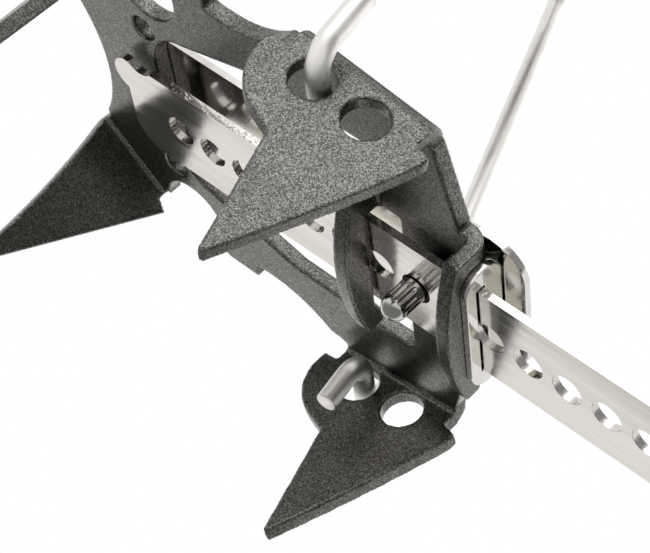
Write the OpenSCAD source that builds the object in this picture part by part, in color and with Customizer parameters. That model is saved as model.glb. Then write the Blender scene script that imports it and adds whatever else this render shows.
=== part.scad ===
// Semi-automatic crampon: a heel and a toe section of bent plate on a perforated bar,
// with a sprung latch pin, a wire heel bail with its lever, and a toe basket.
// +X points to the toe, +Y to the left and +Z up. The points stand on z = 0.

/* [Plate] */
// Thickness of the frame plate
sheet = 3; // [2.6:0.1:3.4]
// Outer radius of the bends in the plate
bend_r = 3.9; // [3.6:0.1:4]
// Height of the bar's underside above the tips of the points
bar_z = 35.5; // [33:0.5:44]
// Width of a point at its blunt tip
tip_w = 0.8; // [0.4:0.1:1.6]

/* [Side plates] */
// Diameter of the two holes in each side plate
plate_hole_d = 7.8; // [7.2:0.1:8.6]
// Distance between those holes
plate_hole_pitch = 10.9; // [10:0.1:12.4]
// Flat land between the holes and the bend above them
plate_hole_land = 0.2; // [0.1:0.1:1]
// Radius of the rear lobe, around the rear hole
lobe_r = 10.6; // [9.6:0.1:11.4]
// Distance from the rear hole to the plate's front corner
plate_front = 22.6; // [22:0.1:25]
// Distance from the rear hole to the tip of the point
plate_tip = 9.2; // [8:0.1:13]
// Forward bow of the point's front edge
plate_bow = 0.4; // [0.2:0.1:1.6]

/* [Heel frame] */
// Width of the heel frame over its side plates, at their rear holes
heel_w = 83.9; // [80:0.1:92]
// Angle by which each side plate closes in towards the front
plate_toe_in = 9.2; // [2:0.2:12]
// Length of the heel opening behind the bridge
heel_open_l = 57; // [54:0.5:58]
// Width of the heel opening at its front
heel_open_w = 50; // [47:0.5:51]
// Width of the heel opening at its rear
heel_open_rear_w = 39; // [36:0.5:40]
// Angle by which each side of the opening closes in towards the rear
heel_open_taper = 15.5; // [12:0.5:20]
// Width of the rear bridge, on the centre line
rear_bridge = 15.5; // [14:0.5:18]
// Radius of the scallop in the rear edge
rear_scallop_r = 30; // [28:0.5:34]
// Length of the bend that carries a rear point
corner_bend = 18.4; // [17.5:0.1:19]
// Angle between that bend and the frame's length
corner_angle = 45; // [42:1:48]
// Diameter of the small holes in the rear bridge
small_hole_d = 5.2; // [4:0.1:5.8]

/* [Linkage bar] */
// Width of the bar
bar_w = 20.8; // [19:0.2:22]
// Thickness of the bar
bar_t = 1.5; // [1.2:0.1:2]
// Diameter of the holes in the bar
bar_hole_d = 6; // [5.8:0.1:6.6]
// Distance between the holes in the bar
bar_pitch = 7.9; // [7.5:0.1:9]
// Length of the bar behind the latch pin
bar_rear = 67.7; // [66:0.1:69]
// Length of the bar in front of the latch pin, to the toe hinge
bar_front = 88; // [84:1:120]
// Gap between the bar and the plate above it
bar_gap = 1.5; // [1:0.1:2]

/* [Latch] */
// Diameter of the latch pin
latch_pin_d = 5; // [4.6:0.1:5.2]
// Length of the pin below the bar
latch_pin_drop = 7.2; // [6:0.1:9]
// Thickness of the leaf spring
leaf_t = 1.2; // [0.8:0.1:1.6]
// Width of the leaf spring
leaf_w = 27; // [24:0.5:28]
// Width of the thumb tab
thumb_w = 32; // [29:0.5:35]
// Distance from the pin to the front of the thumb tab
thumb_front = 18.6; // [17:0.2:24]
// Thickness of the keeper plate
keeper_t = 1.4; // [1:0.1:2]
// Width of the keeper plate
keeper_w = 29; // [27:0.5:33]

/* [Heel bail] */
// Diameter of the bail wire
wire_d = 4; // [3.4:0.1:4.4]
// Length of the bail's legs, from the pivot to the crossbar
bail_l = 118; // [110:1:130]
// Backward lean of the bail's legs at rest
bail_lean = 22.7; // [18:0.1:30]
// Bend between the foot and the leg of the bail
bail_kick = 12.7; // [6:0.1:16]
// Length of the foot, from the pivot to that bend
bail_foot = 14; // [12:0.5:18]
// Radius of the bends at the ends of the wire
hook_r = 4.6; // [4:0.1:5]
// Radius of the bail's upper corners
bail_corner_r = 11; // [9:0.5:16]
// Length of the hooked ends inside the plates
hook_l = 11; // [9:0.5:13]

/* [Heel lever] */
// Width of the lever
lever_w = 32; // [28:1:36]
// Length of the handle below the crossbar
handle_l = 52; // [44:1:54]
// Diameter of the adjusting wheel
wheel_d = 13; // [12:0.5:14]
// Thickness of the adjusting wheel
wheel_t = 6; // [5:0.5:7]
// Diameter of the adjusting screw
screw_d = 4; // [3:0.1:4.6]
// Travel of the claw
claw_travel = 4.5; // [3:0.5:5]
// Thickness of the claw plate
claw_t = 2; // [1.6:0.1:2.4]
// Backward lean of the handle when the lever hangs free
lever_hang = 48; // [0:1:70]

/* [Toe frame] */
// Width of the toe frame over its side plates
toe_w = 93; // [90:0.5:100]
// Distance from the toe hinge to the front edge of the bed
toe_l = 112; // [110:1:122]
// Distance from the toe hinge to the rear hole of the rear side plates
toe_plate_rear = 30; // [29:0.5:31]
// Distance from the toe hinge to the rear hole of the front side plates
toe_plate_front = 70; // [68:0.5:71]
// Diameter of the toe hinge pin
hinge_pin_d = 5; // [4.4:0.1:5.2]
// Reach of a front point ahead of the bed
front_point_l = 41; // [32:1:48]
// Width of a front point at its root
front_point_w = 14; // [11:0.5:16]
// Radius of the downward curve of the front points
front_point_r = 84; // [70:1:140]

/* [Toe basket] */
// Thickness of the basket's band
basket_t = 4; // [3:0.2:5]
// Height of the band over the toe
basket_h = 26; // [20:1:32]
// Upward tilt of the basket at rest
basket_tilt = 28; // [24:1:40]
// Distance from the pivots to the centre of the toe curve
basket_arm = 36; // [30:1:40]
// Diameter of the pivot rivet in the basket
pivot_d = 6; // [5:0.1:7]

/* [Hidden] */
$fn = 64;

paint = "#45464a";
chrome = "#c8cbce";
satin = "#b4b6b6";
black_plastic = "#232427";
red_plastic = "#a8321f";

// Running clearance of a pin in its bore
run = 0.05;
// Clearance of a sliding or swinging piece
free = 0.3;
// A length that passes right through any piece
through = 400;

// Heights above the bar's underside
bed_z = bar_t + bar_gap;
bed_top = bed_z + sheet;
bend_z = bed_top - bend_r;
inner_r = bend_r - sheet;
// Overlap of a bend with the flat bed behind it
bend_lap = 1;
ground = -bar_z;
plate_hole_drop = plate_hole_d / 2 + plate_hole_land - bend_z;
leaf_top = bed_top + leaf_t;

// Stations along the heel section, from the latch pin
bridge_front = 8;
bridge_rear = -5;
bail_hole_x = -15.1;
plate_bend_rear = -7.5;
plate_bend_front = plate_front - 3;
// Start of a side plate's bend, level with its rear hole, and the way along it
side_bend = [bail_hole_x - bend_r * sin(plate_toe_in), heel_w / 2 - bend_r * cos(plate_toe_in)];
side_dir = [cos(plate_toe_in), -sin(plate_toe_in)];
opening_rear = bridge_rear - heel_open_l;
opening_corner_r = 9;
rear_edge = opening_rear - rear_bridge;
corner_start = [rear_edge - 4, 16.5];
corner_dir = [cos(corner_angle), sin(corner_angle)];
corner_end = corner_start + corner_bend * corner_dir;
corner_overhang = 2.8;
corner_tip = 4.9;
corner_land = 0.8;
// Thinning of the plate at the slanting bends
corner_thinning = 0.05;
rail_y = heel_w / 2 - 3.5;
lobe_y = heel_w / 2 - 5;
lobe_front = -45.5;
lobe_rear = -53;
side_scallop_r = 22;
side_scallop = [lobe_front + 4.5, heel_w / 2 + 13.4];
corner_scallop_r = (lobe_rear - corner_end[0]) / 2 - corner_land;
small_hole = [opening_rear - 1.6, 17.8];

// Hooks under the bar
hook_side = bar_w / 2 + 0.8;
hook_half = 17.5;
hook_gap = 0.6;
hook_low = -6;
hook_lip = 2.2;
hook_bow_r = 49;
front_hook_x = 12.7;
rear_hook_x = -9.5;
hook_shank_end_r = 2.4;

// Bar
first_hole = -7;
pin_shift = 0.2;
eye_r = hinge_pin_d / 2 + run + bar_t;
hinge_z = bar_t - eye_r;
last_hole = floor((bar_front - 2 * eye_r) / bar_pitch);

// Latch
rivet_d = 3.2;
rivet_head_d = 5.6;
rivet_head_h = 1.2;
leaf_rear = rear_edge + 2.4;
leaf_rivets = [leaf_rear + rivet_d, leaf_rear + rivet_d + rivet_head_d + 0.4];
washer_t = 0.8;
washer_d = 9;

// Bail
wire_r = wire_d / 2;
bail_x = bail_hole_x - sheet * sin(plate_toe_in) + plate_hole_d / 2 * cos(plate_toe_in) - wire_r - free;
bail_z = -plate_hole_drop;
foot_lean = bail_lean - bail_kick;
leg_l = bail_l - bail_foot;
// Swelling of the wire where the foot and the leg meet
kick_swell = 0.1;
leg_y = heel_w / 2 + 2 * free + hook_r;
hook_y = heel_w / 2 - sheet - 9;
crossbar = [
    bail_x - bail_foot * sin(foot_lean) - leg_l * sin(bail_lean), 0,
    bail_z + bail_foot * cos(foot_lean) + leg_l * cos(bail_lean)
];
collar_l = 5;
collar_wall = 2.5;

// Lever, from the crossbar's centre
block_top = 14;
block_low = -13;
block_rear = -6;
screw_x = 11;
block_front = screw_x + wheel_d / 2 - 0.8;
claw_z = block_top + free;
claw_w = lever_w - 6;
wheel_gap = 0.3;
handle_heel = [block_rear + 0.5, 1 - handle_l];

// Toe section, from the toe hinge
toe_bend_y = toe_w / 2 - bend_r;
ear_gap = bar_w / 2 + 1.2;
ear_bend_y = ear_gap + bend_r;
ear_front = 8;
ear_rear = -8;
ear_r = hinge_pin_d / 2 + 4.4;
hinge_head_d = 2 * (bend_z - hinge_z - free);
hinge_head_h = 1.6;
clip_t = 1;
toe_rear_bridge = 8;
toe_mid_bridge = 10;
toe_front_bridge = 18;
toe_side_rail = 14;
toe_mid = toe_plate_front - 15;
toe_corner = [toe_l - 13, toe_bend_y - 2.5];
toe_corner_angle = -corner_angle;
toe_corner_dir = [cos(toe_corner_angle), sin(toe_corner_angle)];
toe_corner_end = toe_corner + corner_bend * toe_corner_dir;
front_point_y = toe_corner_end[1] - front_point_w / 2 - 2;

// Basket, from its pivots
basket_in = toe_w / 2 + 0.8;
basket_out = basket_in + basket_t;
ear_disc_r = 9;
vent_d = 6;
vent_rise = 1;
vents = [basket_arm - 18, basket_arm - 6];
side_slot = [4.5, 18];
side_slot_x = basket_arm + 17;
toe_slot_w = 28;
toe_slot_z = [8, 18];
rivet_cap_h = 1.8;
rivet_cap_d = pivot_d + 5;
rivet_foot_d = 2 * (bend_z + plate_hole_drop);

// The part's origin is under the middle of its length
corner_reach = corner_start[0] - bend_r * sin(corner_angle);
lever_reach = crossbar[0] + handle_heel[0] * cos(lever_hang) + handle_heel[1] * sin(lever_hang);
rear_reach = min(corner_reach, lever_reach);
front_reach = bar_front + toe_l + front_point_l;
heel_x = -(rear_reach + front_reach) / 2;

// Shift of a bed's edge to the middle of its overlap with a bend at the given angle
function lap_in(angle) = bend_lap / 2 * [sin(angle), -cos(angle)];

// Points of a shallow arc from p to q, bowed by sag to the left of the way
function arc(p, q, sag, n = 8) =
    let (d = q - p, left = [-d[1], d[0]] / norm(d))
    [for (i = [0:n]) let (t = i / n) p + d * t + left * sag * 4 * t * (1 - t)];

module at_heel() {
    translate([heel_x, 0, bar_z]) children();
}

module at_toe() {
    at_heel() translate([bar_front, 0, 0]) children();
}

module at_basket() {
    at_toe() translate([toe_plate_rear, 0, -plate_hole_drop]) children();
}

module at_lever() {
    at_heel() translate(crossbar) rotate([0, lever_hang, 0]) children();
}

module both_sides() {
    children();
    mirror([0, 1, 0]) children();
}

// A plan outline raised as plate at the bed's height
module bed_plate() {
    translate([0, 0, bed_z]) linear_extrude(sheet) children();
}

// An outline in x and z, drawn out to both sides of the centre line
module across(width) {
    rotate([90, 0, 0]) linear_extrude(width, center = true) children();
}

// A rod along y
module cross_rod(d, length) {
    rotate([90, 0, 0]) cylinder(d = d, h = length, center = true);
}

module rounded_rect(low, high, r) {
    translate([low[0] + r, low[1]]) square([high[0] - low[0] - 2 * r, high[1] - low[1]]);
    translate([low[0], low[1] + r]) square([high[0] - low[0], high[1] - low[1] - 2 * r]);
    for (x = [low[0] + r, high[0] - r], y = [low[1] + r, high[1] - r]) {
        translate([x, y]) circle(r);
    }
}

// Plate bent down along x: the bed ends at y = 0 and the outline hangs on the far side.
// Both faces of the bent plate lie below those of the bed by the thinning.
module flange(from, to, thinning = 0) {
    outer = bend_r - thinning;
    inner = inner_r + thinning;
    translate([from, 0, bend_z]) rotate([90, 0, 90]) linear_extrude(to - from) {
        intersection() {
            difference() {
                circle(outer);
                circle(inner);
            }
            square(bend_r);
        }
        translate([-bend_lap, inner]) square([bend_lap, outer - inner]);
    }
    translate([0, outer, 0]) rotate([90, 0, 0]) linear_extrude(outer - inner) children();
}

// Side plate around its rear hole: a round lobe, two holes and a bowed point
module side_plate_2d(rear_hole_d) {
    top = bend_z + plate_hole_drop;
    shoulder = top - 2;
    tip = ground + plate_hole_drop;
    notch = [1.6, -lobe_r - 1.1];
    difference() {
        union() {
            intersection() {
                circle(lobe_r);
                translate([-lobe_r, -lobe_r]) square([2 * lobe_r, lobe_r + shoulder]);
            }
            polygon(concat(
                [[plate_bend_rear, top], [plate_bend_rear, 0], [-3, -lobe_r + 0.4], notch],
                [[plate_tip - tip_w / 2, tip]],
                arc([plate_tip + tip_w / 2, tip], [plate_front, -0.6], -plate_bow),
                [[plate_front, shoulder - 1], [plate_bend_front, shoulder - 0.4], [plate_bend_front, top]]
            ));
        }
        circle(d = rear_hole_d);
        translate([plate_hole_pitch, 0]) circle(d = plate_hole_d);
    }
}

module side_flange(hole_x, rear_hole_d = plate_hole_d, thinning = 0) {
    flange(hole_x + plate_bend_rear, hole_x + plate_bend_front, thinning)
        translate([hole_x, -plate_hole_drop]) side_plate_2d(rear_hole_d);
}

// Corner point along its bend: a hollow inner edge and a straight outer one
module corner_point_2d() {
    polygon(concat(
        arc([0, bend_z], [corner_tip - tip_w / 2, ground], 1.1),
        [[corner_tip + tip_w / 2, ground], [corner_bend + corner_overhang, bend_z - 1.6]],
        [[corner_bend, bend_z - 0.6], [corner_bend, bend_z]]
    ));
}

// J-shaped hook: a shank beside the bar, and a bowed strip below it with a free end
module hook_2d(end_r) {
    strip_top = -hook_gap;
    lip_top = strip_top + hook_lip;
    difference() {
        intersection() {
            translate([0, hook_low + hook_bow_r]) circle(hook_bow_r, $fn = 128);
            union() {
                translate([hook_side, strip_top]) square([hook_half - hook_side, bend_z - strip_top]);
                translate([-hook_half + end_r, hook_low]) square([2 * hook_half - end_r, strip_top - hook_low]);
                translate([-hook_half + end_r, strip_top - end_r]) circle(end_r);
                polygon([
                    [-hook_side, strip_top - end_r], [-hook_side, strip_top], [-hook_half + end_r, lip_top],
                    [-hook_half, lip_top - end_r / 2], [-hook_half, strip_top - end_r]
                ]);
            }
        }
        translate([hook_half, hook_low]) difference() {
            translate([-hook_shank_end_r, 0]) square(hook_shank_end_r);
            translate([-hook_shank_end_r, hook_shank_end_r]) circle(hook_shank_end_r);
        }
    }
}

module heel_half_bed_2d() {
    bend_rear = bail_hole_x + plate_bend_rear;
    side_edge = side_bend + lap_in(-plate_toe_in);
    difference() {
        polygon([
            [bridge_front, 0], [bridge_front, hook_half + 1],
            side_edge + (plate_bend_front + corner_land / 2) * side_dir,
            side_edge + (plate_bend_rear - corner_land / 2) * side_dir,
            [bend_rear - 2, rail_y], [lobe_front, rail_y], [lobe_front, lobe_y], [lobe_rear, lobe_y],
            corner_end + lap_in(corner_angle) + corner_land / 2 * corner_dir,
            corner_start + lap_in(corner_angle) - corner_land / 2 * corner_dir, [corner_start[0], 0]
        ]);
        intersection() {
            translate(side_scallop) circle(side_scallop_r);
            translate([lobe_front, 0]) square([bend_rear - lobe_front + side_scallop_r, heel_w]);
        }
        translate([lobe_rear - corner_land - corner_scallop_r, corner_end[1]]) circle(corner_scallop_r);
        translate([rear_edge - rear_scallop_r, 0]) circle(rear_scallop_r);
        translate(small_hole) circle(d = small_hole_d);
    }
}

module heel_opening_2d() {
    half = heel_open_w / 2;
    front_corner = 3;
    lap = 0.15;
    t = heel_open_taper;
    corner = [opening_rear + opening_corner_r, heel_open_rear_w / 2 - opening_corner_r];
    touch = corner + (opening_corner_r - lap) * [-sin(t), cos(t)];
    wide = touch[0] + (half - touch[1]) / tan(t);
    side = [[wide + 2 * front_corner, half], [wide, half], touch];
    translate([wide, -half]) rounded_rect([0, 0], [bridge_rear - wide, 2 * half], front_corner);
    polygon([side[0], side[1], side[2], corner, [corner[0], -corner[1]],
        [side[2][0], -side[2][1]], [side[1][0], -side[1][1]], [side[0][0], -side[0][1]]]);
    translate([opening_rear, -corner[1]]) square([opening_corner_r + front_corner, 2 * corner[1]]);
    for (y = [-corner[1], corner[1]]) translate([corner[0], y]) circle(opening_corner_r);
}

module heel_frame() {
    rear_tongue = [rear_hook_x + inner_r, -heel_open_w / 2 - 1];
    color(paint) at_heel() difference() {
        union() {
            bed_plate() difference() {
                union() {
                    heel_half_bed_2d();
                    mirror([0, 1]) heel_half_bed_2d();
                    translate([0, -hook_half])
                        square([front_hook_x - bend_r, hook_half - hook_side]);
                }
                difference() {
                    heel_opening_2d();
                    translate(rear_tongue) square([bridge_rear - rear_tongue[0] + 1, -hook_side - rear_tongue[1]]);
                }
            }
            both_sides() translate([side_bend[0], side_bend[1], 0]) rotate([0, 0, -plate_toe_in])
                side_flange(0, plate_hole_d, corner_thinning);
            both_sides() translate([corner_start[0], corner_start[1], 0]) rotate([0, 0, corner_angle])
                flange(0, corner_bend, corner_thinning) corner_point_2d();
            translate([front_hook_x - bend_r, 0, 0]) rotate([0, 0, -90])
                flange(hook_side, hook_half) hook_2d(2.8);
            translate([rear_hook_x + inner_r, 0, 0]) rotate([0, 0, 90]) mirror([1, 0, 0])
                flange(hook_side, hook_half) hook_2d(1.6);
        }
        cylinder(d = latch_pin_d + 4 * run, h = through, center = true);
        for (x = leaf_rivets) translate([x, 0, 0]) cylinder(d = rivet_d, h = through, center = true);
    }
}

module bar_keeper() {
    low = -2.6;
    color(chrome) at_heel() translate([front_hook_x, 0, 0]) rotate([90, 0, 90]) linear_extrude(keeper_t)
        difference() {
            rounded_rect([-keeper_w / 2, low], [keeper_w / 2, bed_top - free], 4);
            translate([-bar_w / 2 - free, -free]) square([bar_w + 2 * free, bar_t + 2 * free]);
        }
}

module leaf_2d() {
    rear_corner = 4;
    thumb_corner = 6.5;
    thumb_l = 2 * thumb_corner + 3;
    difference() {
        union() {
            rounded_rect([leaf_rear, -leaf_w / 2], [thumb_front - thumb_corner, leaf_w / 2], rear_corner);
            rounded_rect([thumb_front - thumb_l, -thumb_w / 2], [thumb_front, thumb_w / 2], thumb_corner);
        }
        circle(d = latch_pin_d + 2 * run);
        for (x = leaf_rivets) translate([x, 0]) circle(d = rivet_d);
    }
}

module latch_spring() {
    color(chrome) at_heel() translate([0, 0, bed_top]) linear_extrude(leaf_t) leaf_2d();
}

module latch_rivets() {
    color(chrome) at_heel() for (x = leaf_rivets) translate([x, 0, bed_z]) {
        cylinder(d = rivet_d, h = sheet + leaf_t);
        translate([0, 0, sheet + leaf_t]) cylinder(d1 = rivet_head_d, d2 = rivet_d, h = rivet_head_h);
    }
}

module linkage_bar() {
    corner = 6;
    tab_r = 3.7;
    notch_r = 3.5;
    notch_deep = 1.2;
    notch_x = 4.1;
    half = bar_w / 2;
    color(chrome) at_heel() {
        linear_extrude(bar_t) difference() {
            union() {
                translate([-bar_rear, -half]) square([bar_rear + bar_front, bar_w]);
                translate([-bar_rear + 1, -half + tab_r]) circle(tab_r);
            }
            translate([-bar_rear, half - corner]) difference() {
                square([corner, corner]);
                translate([corner, 0]) circle(corner);
            }
            translate([notch_x - bar_rear, notch_deep - notch_r - half]) circle(notch_r);
            for (k = [first_hole:last_hole]) translate([pin_shift + k * bar_pitch, 0]) circle(d = bar_hole_d);
        }
        translate([bar_front, 0, hinge_z]) difference() {
            cross_rod(2 * eye_r, bar_w);
            cross_rod(hinge_pin_d + 2 * run, through);
            translate([-through, -through / 2, -bar_t / 4]) cube([through, through, bar_t / 2]);
        }
    }
}

module latch_pin() {
    r = latch_pin_d / 2;
    flutes = 12;
    flute_r = 0.45;
    neck_r = r - 0.5;
    color(chrome) at_heel() difference() {
        union() {
            translate([0, 0, r - latch_pin_drop]) sphere(r);
            translate([0, 0, r - latch_pin_drop]) cylinder(r = r, h = latch_pin_drop - r + leaf_top);
            translate([0, 0, leaf_top]) cylinder(r = neck_r, h = washer_t);
            translate([0, 0, leaf_top + washer_t]) cylinder(r1 = r + 1, r2 = r, h = 1);
        }
        for (i = [0:flutes - 1]) rotate(i * 360 / flutes) translate([r, 0, 0.6 - latch_pin_drop])
            cylinder(r = flute_r, h = latch_pin_drop - 1.4);
    }
}

module latch_pin_washer() {
    r = latch_pin_d / 2 - 0.5 + run;
    color(chrome) at_heel() translate([0, 0, leaf_top]) difference() {
        cylinder(d = washer_d, h = washer_t);
        translate([0, 0, -1]) cylinder(r = r, h = washer_t + 2);
    }
}

// Half of the bail's foot in its own plane: x outwards, y up along the foot
module bail_foot_half() {
    rotate([90, 0, 0]) translate([hook_y, 0, hook_r]) cylinder(r = wire_r, h = hook_l - hook_r);
    translate([hook_y + hook_r, -hook_r, 0]) rotate(90) rotate_extrude(angle = 90) translate([hook_r, 0]) circle(wire_r);
    translate([hook_y + hook_r, 0, 0]) rotate([0, 90, 0]) cylinder(r = wire_r, h = leg_y - hook_y - 2 * hook_r);
    translate([leg_y - hook_r, hook_r, 0]) rotate(-90) rotate_extrude(angle = 90) translate([hook_r, 0]) circle(wire_r);
    translate([leg_y, hook_r, 0]) rotate([-90, 0, 0]) cylinder(r = wire_r, h = bail_foot - hook_r);
    translate([leg_y, bail_foot, 0]) rotate([90, 0, 0]) sphere(wire_r + kick_swell);
}

// Half of the bail above the foot: x outwards, y up along the leg
module bail_leg_half() {
    translate([leg_y, 0, 0]) rotate([-90, 0, 0]) cylinder(r = wire_r, h = leg_l - bail_corner_r);
    translate([leg_y - bail_corner_r, leg_l - bail_corner_r, 0]) rotate_extrude(angle = 90)
        translate([bail_corner_r, 0]) circle(wire_r);
    translate([0, leg_l, 0]) rotate([0, 90, 0]) cylinder(r = wire_r, h = leg_y - bail_corner_r);
}

module heel_bail() {
    color(satin) at_heel() translate([bail_x, 0, bail_z]) rotate([0, -foot_lean, 0]) {
        rotate([90, 0, 90]) {
            bail_foot_half();
            mirror([1, 0, 0]) bail_foot_half();
        }
        translate([0, 0, bail_foot]) rotate([0, -bail_kick, 0]) rotate([90, 0, 90]) {
            bail_leg_half();
            mirror([1, 0, 0]) bail_leg_half();
        }
    }
}

module bail_collars() {
    color(black_plastic) at_lever() both_sides() translate([0, lever_w / 2 + free + collar_l / 2, 0]) difference() {
        cross_rod(wire_d + 2 * collar_wall, collar_l);
        cross_rod(wire_d + run, through);
    }
}

module lever_profile_2d() {
    polygon(concat(
        [[block_rear, block_low + 2], [block_rear, block_top], [block_front, block_top], [block_front, block_low + 2]],
        arc([block_front - 2, block_low], [1.5, -handle_l], 3),
        arc(handle_heel, [block_rear, block_low + 2], -1.6)
    ));
}

module lever_front_2d() {
    half = lever_w / 2;
    intersection() {
        rounded_rect([-half, -handle_l], [half, block_top], 5);
        union() {
            translate([-half, block_low]) square([lever_w, block_top - block_low]);
            polygon(concat(
                arc([-half, block_low], [-half, -handle_l], 2.2),
                arc([half, -handle_l], [half, block_low], 2.2)
            ));
        }
    }
}

module heel_lever() {
    window_low = -wheel_t / 2 - wheel_gap;
    slot_w = 20;
    slot_h = 4;
    slot_z = -handle_l + 8;
    ribs = 4;
    rib_pitch = 3.6;
    color(black_plastic) at_lever() difference() {
        intersection() {
            across(lever_w) lever_profile_2d();
            rotate([90, 0, 90]) linear_extrude(through, center = true) lever_front_2d();
        }
        cross_rod(wire_d + 2 * run, through);
        translate([screw_x, 0, window_low]) cylinder(d = wheel_d + 4 * wheel_gap, h = wheel_t + 2 * wheel_gap);
        translate([screw_x, -wheel_d / 2, window_low]) cube([through, wheel_d, wheel_t + 2 * wheel_gap]);
        translate([screw_x, 0, block_low - 1]) cylinder(d = screw_d + 2 * run, h = block_top - block_low + 2);
        rotate([90, 0, 90]) translate([0, 0, -through / 2]) linear_extrude(through)
            rounded_rect([-slot_w / 2, slot_z], [slot_w / 2, slot_z + slot_h], 1.9);
        for (i = [0:ribs - 1]) translate([block_rear - 0.6, 0, slot_z + slot_h + 4 + i * rib_pitch])
            cross_rod(2, lever_w - 12);
    }
}

module adjusting_wheel() {
    grips = 16;
    grip_d = 1.4;
    color(red_plastic) at_lever() translate([screw_x, 0, -wheel_t / 2]) difference() {
        cylinder(d = wheel_d, h = wheel_t);
        translate([0, 0, -1]) cylinder(d = screw_d + 2 * run, h = wheel_t + 2);
        for (i = [0:grips - 1]) rotate((i + 0.5) * 360 / grips) translate([wheel_d / 2 + 0.2, 0, -1])
            cylinder(d = grip_d, h = wheel_t + 2);
    }
}

module adjusting_screw() {
    low = block_low + claw_travel - 1;
    color(satin) at_lever() translate([screw_x, 0, low]) {
        cylinder(d = screw_d, h = claw_z + claw_t - low);
        translate([0, 0, claw_z + claw_t - low]) cylinder(d1 = screw_d + 3, d2 = screw_d, h = 1.2);
    }
}

module heel_claw() {
    half = lever_w / 2;
    lip_x = -15;
    lip_h = 5;
    cheek_low = claw_z - 8;
    cheek_rear = 5;
    color(satin) at_lever() difference() {
        union() {
            translate([0, 0, claw_z]) linear_extrude(claw_t) {
                rounded_rect([lip_x, -claw_w / 2], [block_front, claw_w / 2], 1);
                translate([cheek_rear, -half - free - claw_t]) square([block_front - cheek_rear, lever_w + 2 * (free + claw_t)]);
            }
            translate([lip_x, -claw_w / 2, claw_z]) cube([claw_t, claw_w, lip_h]);
            both_sides() translate([cheek_rear, half + free, cheek_low])
                cube([block_front - cheek_rear, claw_t, claw_z + claw_t - cheek_low]);
        }
        translate([screw_x, 0, 0]) cylinder(d = screw_d, h = through);
    }
}

module toe_half_bed_2d() {
    open_half = toe_bend_y - toe_side_rail;
    rear_open = [ear_front + toe_rear_bridge, toe_mid - toe_mid_bridge / 2];
    front_open = [toe_mid + toe_mid_bridge / 2, toe_l - toe_front_bridge];
    corner_in = lap_in(toe_corner_angle);
    difference() {
        polygon(concat(
            [[ear_front, 0], [ear_front, ear_bend_y], [ear_rear, ear_bend_y]],
            arc([ear_rear, ear_bend_y + 10], [toe_plate_rear + plate_bend_rear, toe_bend_y], 4),
            [[toe_plate_rear + plate_bend_front, toe_bend_y], [toe_plate_front + plate_bend_rear, toe_bend_y]],
            [[toe_plate_front + plate_bend_front, toe_bend_y]],
            [toe_corner + corner_in - corner_land / 2 * toe_corner_dir],
            [toe_corner_end + corner_in + corner_land / 2 * toe_corner_dir],
            [[toe_l, toe_corner_end[1] - bend_lap], [toe_l, 0]]
        ));
        for (span = [rear_open, front_open])
            translate([0, -open_half]) rounded_rect([span[0], 0], [span[1], 2 * open_half], 9);
        scallop = (toe_plate_front + plate_bend_rear - toe_plate_rear - plate_bend_front) / 2;
        translate([toe_plate_rear + plate_bend_front + scallop, toe_bend_y + 2]) circle(scallop + 0.6);
    }
}

// Front point: the plate curved down ahead of the bed, tapered in plan
module front_point() {
    root = front_point_w / 2;
    tip = 1.4;
    lap = 4;
    intersection() {
        across(through) translate([toe_l, bed_top - front_point_r]) {
            intersection() {
                difference() {
                    circle(front_point_r, $fn = 256);
                    circle(front_point_r - sheet, $fn = 256);
                }
                square(front_point_r);
            }
            translate([-lap, front_point_r - sheet]) square([lap, sheet]);
        }
        translate([toe_l, front_point_y, -through / 2]) linear_extrude(through) polygon(concat(
            [[-lap, root], [-lap, -root]],
            arc([0, -root], [front_point_l, -tip], -1),
            arc([front_point_l, tip], [0, root], -1)
        ));
    }
}

module toe_frame() {
    color(paint) at_toe() {
        bed_plate() {
            toe_half_bed_2d();
            mirror([0, 1]) toe_half_bed_2d();
        }
        both_sides() {
            translate([0, toe_bend_y, 0]) side_flange(toe_plate_rear, pivot_d + 2 * run);
            translate([0, toe_bend_y, 0]) side_flange(toe_plate_front);
            translate([toe_corner[0], toe_corner[1], 0]) rotate([0, 0, toe_corner_angle])
                flange(0, corner_bend, corner_thinning) translate([corner_bend, 0]) mirror([1, 0]) corner_point_2d();
            front_point();
            translate([0, ear_bend_y, 0]) mirror([0, 1, 0]) flange(ear_rear, ear_front) difference() {
                union() {
                    translate([ear_rear, hinge_z]) square([ear_front - ear_rear, bend_z - hinge_z]);
                    translate([0, hinge_z]) circle(ear_r);
                }
                translate([0, hinge_z]) circle(d = hinge_pin_d);
            }
        }
    }
}

module toe_hinge_pin() {
    half = ear_gap + sheet;
    color(satin) at_toe() translate([0, 0, hinge_z]) rotate([90, 0, 0]) {
        translate([0, 0, -half]) cylinder(d = hinge_pin_d, h = 2 * half + 2 * clip_t);
        translate([0, 0, -half - hinge_head_h]) cylinder(d = hinge_head_d, h = hinge_head_h);
    }
}

module toe_hinge_clip() {
    half = ear_gap + sheet;
    color(satin) at_toe() translate([0, -half, hinge_z]) rotate([90, 0, 0]) linear_extrude(clip_t) difference() {
        circle(d = hinge_head_d);
        circle(d = hinge_pin_d);
        translate([-hinge_pin_d / 3, -hinge_head_d]) square([hinge_pin_d / 1.5, hinge_head_d]);
    }
}

module basket_rivet() {
    inner_face = toe_w / 2 - sheet;
    outer_face = basket_out + free + washer_t;
    color(satin) at_basket() rotate([-90, 0, 0]) {
        translate([0, 0, inner_face - rivet_cap_h]) cylinder(d1 = pivot_d, d2 = rivet_foot_d, h = rivet_cap_h);
        translate([0, 0, inner_face]) cylinder(d = pivot_d, h = outer_face - inner_face);
        translate([0, 0, outer_face]) cylinder(d1 = rivet_cap_d, d2 = pivot_d, h = rivet_cap_h);
    }
}

module basket_rivet_left() {
    basket_rivet();
}

module basket_rivet_right() {
    mirror([0, 1, 0]) basket_rivet();
}

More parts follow.
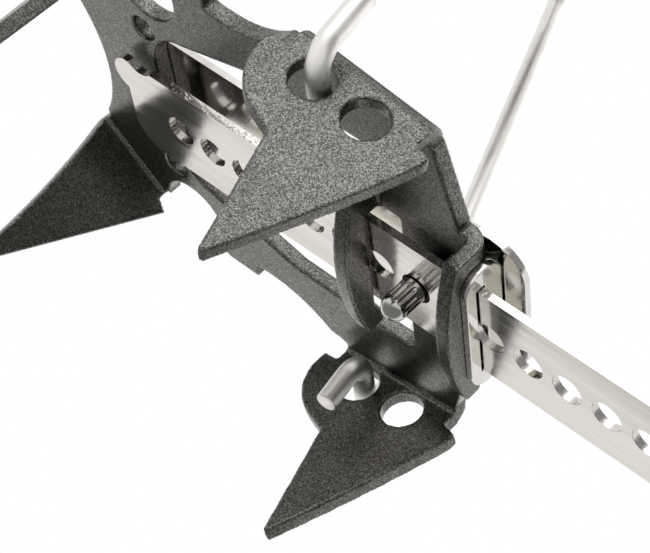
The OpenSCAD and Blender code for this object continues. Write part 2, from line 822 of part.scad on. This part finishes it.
module basket_washers() {
    color(satin) both_sides() at_basket() rotate([-90, 0, 0]) translate([0, 0, basket_out + free]) difference() {
        cylinder(d = rivet_cap_d + 1, h = washer_t);
        translate([0, 0, -1]) cylinder(d = pivot_d + run, h = washer_t + 2);
    }
}

module basket_plan_2d() {
    tail = ear_disc_r + 2;
    difference() {
        union() {
            translate([basket_arm, 0]) circle(basket_out, $fn = 128);
            translate([-tail, -basket_out]) square([tail + basket_arm, 2 * basket_out]);
        }
        translate([basket_arm, 0]) circle(basket_in, $fn = 128);
        translate([-tail - 1, -basket_in]) square([tail + 1 + basket_arm, 2 * basket_in]);
    }
}

module basket_side_2d() {
    front = basket_arm + basket_out + 1;
    circle(ear_disc_r);
    polygon(concat(
        [[0, -ear_disc_r + 1.5]],
        arc([basket_arm - 4, -6], [front, 0], -1.2),
        arc([front, basket_h], [basket_arm - 8, 9], -5),
        [[0, ear_disc_r - 1.5]]
    ));
}

module toe_basket() {
    color(black_plastic) at_basket() rotate([0, -basket_tilt, 0]) difference() {
        intersection() {
            linear_extrude(through, center = true) basket_plan_2d();
            across(through) basket_side_2d();
        }
        cross_rod(pivot_d + 2 * run, through);
        for (x = vents) translate([x, 0, vent_rise]) cross_rod(vent_d, through);
        across(through) rounded_rect([side_slot_x, 0], [side_slot_x + side_slot[0], side_slot[1]], 2.2);
        rotate([90, 0, 90]) translate([0, 0, basket_arm]) linear_extrude(through)
            rounded_rect([-toe_slot_w / 2, toe_slot_z[0]], [toe_slot_w / 2, toe_slot_z[1]], 4.9);
    }
}

heel_frame();
bar_keeper();
latch_spring();
latch_rivets();
linkage_bar();
latch_pin();
latch_pin_washer();
heel_bail();
bail_collars();
heel_lever();
adjusting_wheel();
adjusting_screw();
heel_claw();
toe_frame();
toe_hinge_pin();
toe_hinge_clip();
basket_rivet_left();
basket_rivet_right();
basket_washers();
toe_basket();
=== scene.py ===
"""Semi-automatic crampon: materials, soft edges, light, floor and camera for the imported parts."""
import math

import bmesh
import bpy
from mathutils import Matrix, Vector

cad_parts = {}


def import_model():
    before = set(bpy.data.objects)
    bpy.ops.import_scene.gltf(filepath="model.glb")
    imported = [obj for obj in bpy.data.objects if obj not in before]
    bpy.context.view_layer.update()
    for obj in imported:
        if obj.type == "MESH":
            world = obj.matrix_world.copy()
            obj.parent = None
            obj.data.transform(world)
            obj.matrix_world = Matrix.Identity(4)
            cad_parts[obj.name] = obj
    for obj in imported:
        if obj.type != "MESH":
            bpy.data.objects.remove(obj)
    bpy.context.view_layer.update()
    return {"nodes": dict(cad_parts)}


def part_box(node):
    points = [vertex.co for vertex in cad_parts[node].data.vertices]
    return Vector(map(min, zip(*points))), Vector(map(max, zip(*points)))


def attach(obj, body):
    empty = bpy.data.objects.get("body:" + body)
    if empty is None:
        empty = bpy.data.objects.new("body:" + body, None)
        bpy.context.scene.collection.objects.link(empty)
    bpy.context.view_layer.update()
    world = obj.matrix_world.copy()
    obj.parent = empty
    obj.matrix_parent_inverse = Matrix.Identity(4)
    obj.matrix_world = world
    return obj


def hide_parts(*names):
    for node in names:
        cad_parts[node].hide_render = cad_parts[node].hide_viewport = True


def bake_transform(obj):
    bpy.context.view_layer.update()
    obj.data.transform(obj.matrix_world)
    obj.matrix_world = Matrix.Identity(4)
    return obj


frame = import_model()
NODES = frame["nodes"]
MM = 0.001

# Camera, at the photograph's viewing angle: sensor and lens in millimetres, turn in degrees
SENSOR = 36.0
LENS = 117.72
CAMERA_AT = Vector((0.08281, -0.27500, -0.10870))
CAMERA_TURN = (122.325, -43.039, 7.973)
CAMERA_NEAR = 10 * MM

# Square lamps that face one point of the heel frame. Each has a direction, a distance and a side
# in metres, and a power in watts
AIM = Vector((-0.07, 0.0, 0.035))
LAMPS = {
    "key": ((-0.2, -0.85, 0.45), 0.7, 0.6, 1.0),
    "under": ((-0.6, -0.2, -0.77), 0.7, 0.5, 0.1),
    "top": ((0.25, 0.2, 1.0), 1.0, 1.1, 2.6),
    "far": ((-0.3, 0.9, 0.5), 0.9, 0.7, 1.0),
}

# The dark side of the studio, which bright metal mirrors, and the cosines between which it fades in
DARK_SIDE = Vector((0.78, -0.43, 0.41)).normalized()
DARK_FADE = (0.7, 0.95)
# The studio's strength for the camera, for diffuse light, and mirrored on its white and dark sides
WORLD_SEEN = 1.0
WORLD_LIT = 0.03
WORLD_MIRRORED = 0.95
WORLD_DARK = 0.3

FLOOR_SIZE = 16
# The floor's colour, and the darker one for light that it throws back on the object
FLOOR_PALE = (0.78, 0.78, 0.77)
FLOOR_BOUNCED = (0.2, 0.2, 0.2)
FLOOR_GLOW = (1, 1, 0.99, 1)
# The floor's glow for the camera: from and to these distances in metres, between these strengths
FLOOR_FADE = (0.25, 1.3, 0.5, 1.0)
# What metal mirrors of the floor: a glow with a painted shadow, darker below the object, which is
# longer than it is wide
FLOOR_MIRRORED_SHADOW = (0.03, 0.07, 0.25, 0.98)
FLOOR_STRETCH = (0.3, 1.0, 1.0)

# Points of a mesh that are closer than this are one point
WELD = 0.001 * MM
# Faces that differ by less than FLAT are one face, and edges are sharp from SHARP on
FLAT = math.radians(0.5)
SHARP = math.radians(32)
PIN_SHARP = math.radians(50)
# How far large faces outweigh small ones in a rounded piece's normals
NORMAL_WEIGHT = 60
# Share of a cast piece's triangles that is kept
CAST_KEEP = 0.2

# The leaf spring: the width of its strips, how near a cut counts as on a point, and its last weld
LEAF_STRIP = 1.5 * MM
LEAF_CUT = 1e-7
LEAF_WELD = 0.1 * MM

# The latch pin, from below: a round nose, a shank with shallow flutes, a neck in the washer and a
# domed head
PIN_X = -71.4121 * MM
PIN_R = 2.5 * MM
PIN_NECK_R = 2.0 * MM
PIN_HEAD_R = 3.5 * MM
NOSE_RINGS = 12
SHANK_RINGS = 25
SHANK_STEP = 0.2 * MM
# Each ring of the head: its height as a share of the head's, and how far it lies inside the rim
HEAD_RINGS = ((0.3, 0.1 * MM), (0.7, 0.5 * MM), (0.95, 1.1 * MM))
# The flutes: how many, the points around each, their depth, and from and to which heights above the
# tip they go. Their ends run out over a quarter and a sixth of their length
FLUTES = 12
FLUTE_POINTS = 8
FLUTE_DEEP = 0.3 * MM
FLUTES_FROM = 1.9 * MM
FLUTES_TO = 6.3 * MM
FLUTE_RUN_IN = 4
FLUTE_RUN_OUT = 6

# Sockets of the Mix node for colours, whose names aren't unique
MIX_FACTOR, MIX_A, MIX_B, MIX_RESULT = 0, 6, 7, 2


class Nodes:
    """A short way to write the node tree of a material or a world."""

    def __init__(self, owner, output):
        self.owner = owner
        owner.use_nodes = True
        self.tree = owner.node_tree
        self.tree.nodes.clear()
        self.surface = self.add(output).inputs["Surface"]

    def feed(self, socket, value):
        """Links another socket to this one, or sets it to a plain value."""
        if isinstance(value, bpy.types.NodeSocket):
            self.tree.links.new(value, socket)
        else:
            socket.default_value = value

    def add(self, kind, **values):
        """A node with these settings and inputs. An underscore stands for a space in a name."""
        node = self.tree.nodes.new("ShaderNode" + kind)
        for key, value in values.items():
            if hasattr(node, key):
                setattr(node, key, value)
            else:
                self.feed(node.inputs[key.replace("_", " ")], value)
        return node

    def calculate(self, kind, operation, *values):
        """The number that a Math or VectorMath node makes of these values."""
        node = self.add(kind, operation=operation)
        for socket, value in zip(node.inputs, values):
            self.feed(socket, value)
        return node.outputs["Value"]

    def choose(self, factor, a, b):
        """Shader a where factor is 0, and shader b where it is 1."""
        node = self.add("MixShader")
        for socket, value in zip(node.inputs, (factor, a, b)):
            self.feed(socket, value)
        return node.outputs[0]

    def fade(self, value, limits):
        """A smooth step: value from and to the first two limits gives the last two."""
        node = self.add("MapRange", interpolation_type="SMOOTHSTEP")
        for socket, each in zip(node.inputs, (value, *limits)):
            self.feed(socket, each)
        return node.outputs[0]

    def position(self, stretch=None):
        """The place on the object, with each axis scaled by stretch."""
        place = self.add("TexCoord").outputs["Object"]
        if stretch is None:
            return place
        return self.add("Mapping", Scale=stretch, Vector=place).outputs["Vector"]

    def noise(self, scale, detail=2.0, roughness=0.5, stretch=None):
        """Noise with about that many grains to a metre."""
        node = self.add("TexNoise", Scale=scale, Detail=detail, Roughness=roughness,
                        Vector=self.position(stretch))
        return node.outputs["Fac"]

    def cells(self, size):
        """A random value for each cell of that size, in metres."""
        node = self.add("TexVoronoi", Scale=1 / size, Vector=self.position())
        return self.add("SeparateColor", Color=node.outputs["Color"]).outputs["Red"]

    def ramp(self, source, *stops):
        """A colour ramp. Each stop is a place and a colour or a grey value."""
        node = self.add("ValToRGB", Fac=source)
        elements = node.color_ramp.elements
        while len(elements) < len(stops):
            elements.new(0.5)
        for element, (place, value) in zip(elements, stops):
            element.position = place
            element.color = (*(value if isinstance(value, tuple) else (value,) * 3), 1)
        return node.outputs["Color"]

    def mix(self, kind, factor, a, b):
        """Colours a and b mixed. Each is a socket or a colour, and factor a socket or a number."""
        node = self.add("Mix", data_type="RGBA", blend_type=kind)
        for place, value in ((MIX_FACTOR, factor), (MIX_A, a), (MIX_B, b)):
            self.feed(node.inputs[place], (*value, 1) if isinstance(value, tuple) else value)
        return node.outputs[MIX_RESULT]

    def worn(self, most):
        """Wear on raised edges: 0 on flat faces, and most on the sharpest edges."""
        raised = self.add("NewGeometry").outputs["Pointiness"]
        return self.ramp(raised, (0.53, 0.0), (0.62, most))

    def bump(self, height, strength, distance):
        """A normal from a height between 0 and 1, where 1 stands distance metres proud."""
        node = self.add("Bump", Strength=strength, Distance=distance, Height=height)
        return node.outputs["Normal"]

    def finish(self, **values):
        """The material, with one Principled shader that has these inputs."""
        self.feed(self.surface, self.add("BsdfPrincipled", **values).outputs["BSDF"])
        return self.owner


def material(name):
    """The empty node tree of a new material."""
    return Nodes(bpy.data.materials.new(name), "OutputMaterial")


def sparkle_paint():
    """Dark grey paint with a fine metal grain, rubbed a little on its edges."""
    n = material("sparkle_paint")
    grain = n.ramp(n.cells(0.17 * MM), (0.1, (0.06, 0.059, 0.055)), (0.55, (0.14, 0.137, 0.128)),
                   (0.95, (0.31, 0.304, 0.282)))
    cloud = n.ramp(n.noise(70, detail=3.0), (0.3, 0.88), (0.7, 1.06))
    colour = n.mix("MULTIPLY", 1.0, grain, cloud)
    rubbed = (0.16, 0.157, 0.147)
    return n.finish(
        Metallic=0.93,
        Base_Color=n.mix("MIX", n.worn(0.55), colour, rubbed),
        Roughness=n.ramp(n.noise(1500), (0.3, 0.27), (0.7, 0.36)),
        Normal=n.bump(n.noise(3600, detail=1.0), strength=0.12, distance=0.05 * MM))


def drawn(n, dark, light, rough, stretch=None):
    """The tone and the roughness of drawn steel, each between two values along its grain."""
    tone = n.noise(260, detail=3.0, roughness=0.6, stretch=stretch)
    gloss = n.noise(700, detail=3.0, roughness=0.6, stretch=stretch)
    return {"Metallic": 1.0, "Base_Color": n.ramp(tone, (0.3, dark), (0.7, light)),
            "Roughness": n.ramp(gloss, (0.3, rough[0]), (0.72, rough[1]))}


def bright_steel(name, tint, rough, stretch=None):
    """Plated steel with a faint drawn grain."""
    n = material(name)
    grain = n.noise(1600, stretch=stretch)
    return n.finish(**drawn(n, tuple(c * 0.9 for c in tint), tint, rough, stretch),
                    Normal=n.bump(grain, strength=0.06, distance=0.02 * MM))


def sheared_bar():
    """The bar's plated faces, and its cut edges with the marks of the shear."""
    n = material("sheared_bar")
    facing = n.add("SeparateXYZ", Vector=n.add("NewGeometry").outputs["True Normal"])
    level = n.calculate("Math", "ABSOLUTE", facing.outputs["Z"])
    edge = n.ramp(level, (0.3, 1.0), (0.75, 0.03))
    marks = n.ramp(n.noise(1300, roughness=0.6), (0.36, 0.0), (0.46, 1.0))
    height = n.mix("MULTIPLY", 1.0, marks, edge)
    return n.finish(**drawn(n, (0.66, 0.635, 0.595), (0.76, 0.735, 0.69), (0.1, 0.2), (0.05, 1, 1)),
                    Normal=n.bump(height, strength=0.25, distance=0.1 * MM))


def moulded(name, colour, roughness):
    """Moulded plastic with a fine spark texture and scuffed edges."""
    n = material(name)
    light = tuple(c * 1.5 for c in colour)
    scuffed = tuple(c * 2.4 + 0.02 for c in colour)
    tone = n.ramp(n.noise(160, detail=4.0), (0.35, colour), (0.7, light))
    spark = n.ramp(n.noise(900), (0.3, roughness - 0.08), (0.7, roughness + 0.08))
    return n.finish(
        Base_Color=n.mix("MIX", n.worn(0.7), tone, scuffed),
        Roughness=spark,
        Normal=n.bump(n.noise(2400), strength=0.3, distance=0.06 * MM))


def dress(look, *names):
    """Gives these CAD nodes a material."""
    for name in names:
        materials = NODES[name].data.materials
        materials.clear()
        materials.append(look)


def modify(obj, kind, **values):
    """Adds a modifier with these settings."""
    modifier = obj.modifiers.new(kind.lower(), kind)
    for key, value in values.items():
        setattr(modifier, key, value)


def cast(name, voxel, rounds=3):
    """Rounds all edges by about one voxel, in millimetres, as thick paint or a mould does."""
    node = NODES[name]
    modify(node, "WELD", merge_threshold=WELD)
    modify(node, "REMESH", mode="VOXEL", voxel_size=voxel * MM, use_smooth_shade=True)
    modify(node, "SMOOTH", factor=0.5, iterations=rounds)
    modify(node, "DECIMATE", ratio=CAST_KEEP)
    modify(node, "WEIGHTED_NORMAL", weight=NORMAL_WEIGHT)


def round_edges(obj, width, segments=2, strips=False):
    """A bevel on sharp edges, width in millimetres. Flat faces become whole, except in strips."""
    obj.data.shade_smooth()
    modify(obj, "WELD", merge_threshold=WELD)
    if not strips:
        modify(obj, "DECIMATE", decimate_type="DISSOLVE", angle_limit=FLAT)
    modify(obj, "BEVEL", width=width * MM, segments=segments, limit_method="ANGLE",
           angle_limit=SHARP)
    modify(obj, "WEIGHTED_NORMAL", weight=NORMAL_WEIGHT)


def new_object(name, data):
    """A new object in the scene."""
    obj = bpy.data.objects.new(name, data)
    bpy.context.scene.collection.objects.link(obj)
    return obj


def leaf_spring():
    """The leaf, cut into strips across its length. The real leaf bends between its rivets and the
    pin.
    """
    low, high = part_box("latch_spring")
    mesh = NODES["latch_spring"].data.copy()
    work = bmesh.new()
    work.from_mesh(mesh)
    bmesh.ops.remove_doubles(work, verts=work.verts, dist=WELD)
    x = low.x
    while x < high.x:
        x += LEAF_STRIP
        bmesh.ops.bisect_plane(work, geom=work.verts[:] + work.edges[:] + work.faces[:],
                               dist=LEAF_CUT, plane_co=(x, 0, 0), plane_no=(1, 0, 0))
    bmesh.ops.remove_doubles(work, verts=work.verts, dist=LEAF_WELD)
    work.to_mesh(mesh)
    work.free()
    leaf = new_object("leaf_spring", mesh)
    round_edges(leaf, width=0.2, strips=True)
    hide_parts("latch_spring")
    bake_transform(leaf)


def flute(height):
    """The depth of the pin's flutes at this height above its nose."""
    place = (height - FLUTES_FROM) / (FLUTES_TO - FLUTES_FROM)
    run_in = min(1.0, max(0.0, FLUTE_RUN_IN * place))
    run_out = min(1.0, max(0.0, FLUTE_RUN_OUT * (1 - place)))
    return FLUTE_DEEP * run_in * run_out


def pin(look):
    """The latch pin as a turned piece, with flutes that run out towards its nose and its shank."""
    low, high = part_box("latch_pin")
    neck_low, neck_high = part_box("latch_pin_washer")
    rings = []
    for k in range(1, NOSE_RINGS + 1):
        turn = math.radians(90 * k / NOSE_RINGS)
        rings.append((low.z + PIN_R * (1 - math.cos(turn)), PIN_R * math.sin(turn)))
    for k in range(1, SHANK_RINGS + 1):
        rings.append((low.z + PIN_R + SHANK_STEP * k, PIN_R))
    rings += [(neck_low.z, PIN_R), (neck_low.z, PIN_NECK_R), (neck_high.z, PIN_NECK_R),
              (neck_high.z, PIN_HEAD_R)]
    head = high.z - neck_high.z
    rings += [(neck_high.z + up * head, PIN_HEAD_R - inside) for up, inside in HEAD_RINGS]

    around = FLUTE_POINTS * FLUTES
    work = bmesh.new()
    loops = []
    for z, radius in rings:
        deep = flute(z - low.z)
        loop = []
        for k in range(around):
            turn = 2 * math.pi * k / around
            r = radius - deep * (0.5 + 0.5 * math.cos(FLUTES * turn)) ** 2
            loop.append(work.verts.new((PIN_X + r * math.cos(turn), r * math.sin(turn), z)))
        loops.append(loop)
    for a, b in zip(loops, loops[1:]):
        for k in range(around):
            j = (k + 1) % around
            work.faces.new((a[k], a[j], b[j], b[k]))
    for loop, z in ((loops[0], low.z), (loops[-1], high.z)):
        centre = work.verts.new((PIN_X, 0, z))
        for k in range(around):
            work.faces.new((centre, loop[k], loop[(k + 1) % around]))
    bmesh.ops.recalc_face_normals(work, faces=work.faces)
    mesh = bpy.data.meshes.new("pin")
    work.to_mesh(mesh)
    work.free()
    mesh.shade_smooth()
    mesh.set_sharp_from_angle(angle=PIN_SHARP)
    mesh.materials.append(look)
    obj = new_object("fluted_pin", mesh)
    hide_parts("latch_pin")
    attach(obj, "latch")


def floor():
    """A white floor. It lets light and the camera through from below, and keeps its shadows."""
    bpy.ops.mesh.primitive_plane_add(size=FLOOR_SIZE)
    plane = bpy.context.object
    plane.name = "floor"
    n = material("floor_white")
    rays = n.add("LightPath").outputs

    def glow(limits, stretch=None):
        away = n.calculate("VectorMath", "LENGTH", n.position(stretch))
        return n.add("Emission", Color=FLOOR_GLOW, Strength=n.fade(away, limits)).outputs[0]

    tone = n.mix("MIX", rays["Is Diffuse Ray"], FLOOR_PALE, FLOOR_BOUNCED)
    pale = n.add("BsdfDiffuse", Color=tone).outputs[0]
    lit = n.add("AddShader")
    n.feed(lit.inputs[0], pale)
    n.feed(lit.inputs[1], glow(FLOOR_FADE))
    shown = n.choose(rays["Is Camera Ray"], pale, lit.outputs[0])
    # Metal mirrors the floor as a glow with a painted shadow below the object
    seen = n.choose(rays["Is Glossy Ray"], shown, glow(FLOOR_MIRRORED_SHADOW, FLOOR_STRETCH))
    below = n.add("NewGeometry").outputs["Backfacing"]
    through = n.calculate("Math", "MAXIMUM", below, rays["Is Shadow Ray"])
    n.feed(n.surface, n.choose(through, seen, n.add("BsdfTransparent").outputs[0]))
    plane.data.materials.append(n.owner)


def world():
    """A studio that the camera sees as white. Metal mirrors it as white with one dark side."""
    bpy.context.scene.world = bpy.data.worlds.new("studio")
    n = Nodes(bpy.context.scene.world, "OutputWorld")
    rays = n.add("LightPath").outputs

    def light(strength):
        return n.add("Background", Color=(1, 1, 1, 1), Strength=strength).outputs[0]

    direction = n.add("TexCoord").outputs["Generated"]
    towards = n.calculate("VectorMath", "DOT_PRODUCT", direction, DARK_SIDE)
    shade = n.fade(towards, (*DARK_FADE, WORLD_MIRRORED, WORLD_DARK))
    seen = n.calculate("Math", "MAXIMUM", rays["Is Camera Ray"], rays["Is Transmission Ray"])
    unseen = n.choose(rays["Is Glossy Ray"], light(WORLD_LIT), light(shade))
    n.feed(n.surface, n.choose(seen, unseen, light(WORLD_SEEN)))


def lamp(name, direction, distance, side, power):
    """A square lamp in that direction from AIM, turned to it."""
    data = bpy.data.lights.new(name, "AREA")
    data.size = side
    data.energy = power
    obj = new_object(name, data)
    towards = Vector(direction).normalized()
    obj.location = AIM + distance * towards
    obj.rotation_euler = (-towards).to_track_quat("-Z", "Y").to_euler()


def camera():
    """The camera that took the photograph, as solved from it."""
    data = bpy.data.cameras.new("camera")
    data.sensor_width = SENSOR
    data.lens = LENS
    data.clip_start = CAMERA_NEAR
    obj = new_object("camera", data)
    obj.location = CAMERA_AT
    obj.rotation_euler = [math.radians(a) for a in CAMERA_TURN]
    bpy.context.scene.camera = obj


PIN = bright_steel("pin_steel", (0.62, 0.61, 0.585), (0.14, 0.24))
dress(sparkle_paint(), "heel_frame", "toe_frame")
dress(bright_steel("bright_steel", (0.77, 0.75, 0.715), (0.06, 0.15)),
      "bar_keeper", "latch_spring", "latch_pin_washer")
dress(PIN, "latch_pin")
dress(sheared_bar(), "linkage_bar")
dress(bright_steel("satin_wire", (0.90, 0.88, 0.845), (0.36, 0.48), (1, 1, 0.06)), "heel_bail")
dress(bright_steel("zinc_plate", (0.60, 0.60, 0.60), (0.22, 0.4)),
      "latch_rivets", "adjusting_screw", "heel_claw", "toe_hinge_pin", "toe_hinge_clip",
      "basket_rivet_left", "basket_rivet_right", "basket_washers")
dress(moulded("black_plastic", (0.018, 0.018, 0.02), 0.5),
      "bail_collars", "heel_lever", "toe_basket")
dress(moulded("red_plastic", (0.36, 0.028, 0.018), 0.4), "adjusting_wheel")

cast("heel_frame", voxel=0.3)
cast("toe_frame", voxel=0.4)
cast("heel_lever", voxel=0.45, rounds=9)
for small in ("bar_keeper", "latch_pin_washer", "heel_claw", "heel_bail"):
    round_edges(NODES[small], width=0.25)
round_edges(NODES["adjusting_wheel"], width=0.25, strips=True)
round_edges(NODES["toe_basket"], width=0.5, segments=3)
round_edges(NODES["linkage_bar"], width=0.12)
leaf_spring()
pin(PIN)

floor()
world()
for name, settings in LAMPS.items():
    lamp(name, *settings)
camera()

bpy.context.scene.view_settings.view_transform = "Standard"
